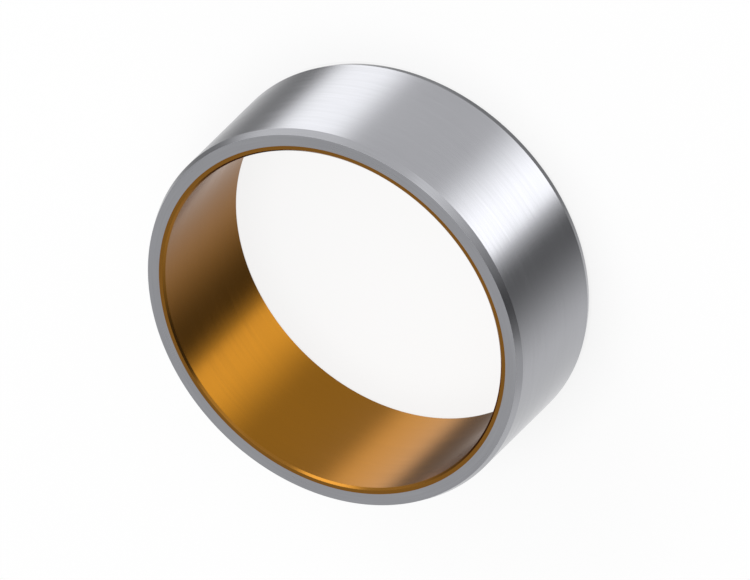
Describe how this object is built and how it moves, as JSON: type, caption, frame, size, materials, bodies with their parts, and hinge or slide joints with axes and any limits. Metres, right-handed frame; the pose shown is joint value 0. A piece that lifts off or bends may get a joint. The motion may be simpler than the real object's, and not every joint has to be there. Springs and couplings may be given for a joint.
{
  "type": "bushing",
  "caption": "Short plain bearing bushing: a steel shell with lead chamfers outside, lined with a thin bronze ring that a shaft turns in.",
  "frame": {"origin": "centre of the lower end face, on the bore's axis", "axes": "+Z along the bore's axis, from the lower end face to the upper one; the ring is the same all round, so X and Y have no feature of their own"},
  "size_m": [0.068, 0.068, 0.025],
  "materials": {
    "steel_shell": "turned end faces, ground outside",
    "bronze_liner": "machined bore, satin"
  },
  "bodies": {
    "root": {"steel_shell": "steel_shell", "bronze_liner": "bronze_liner"}
  },
  "joints": []
}
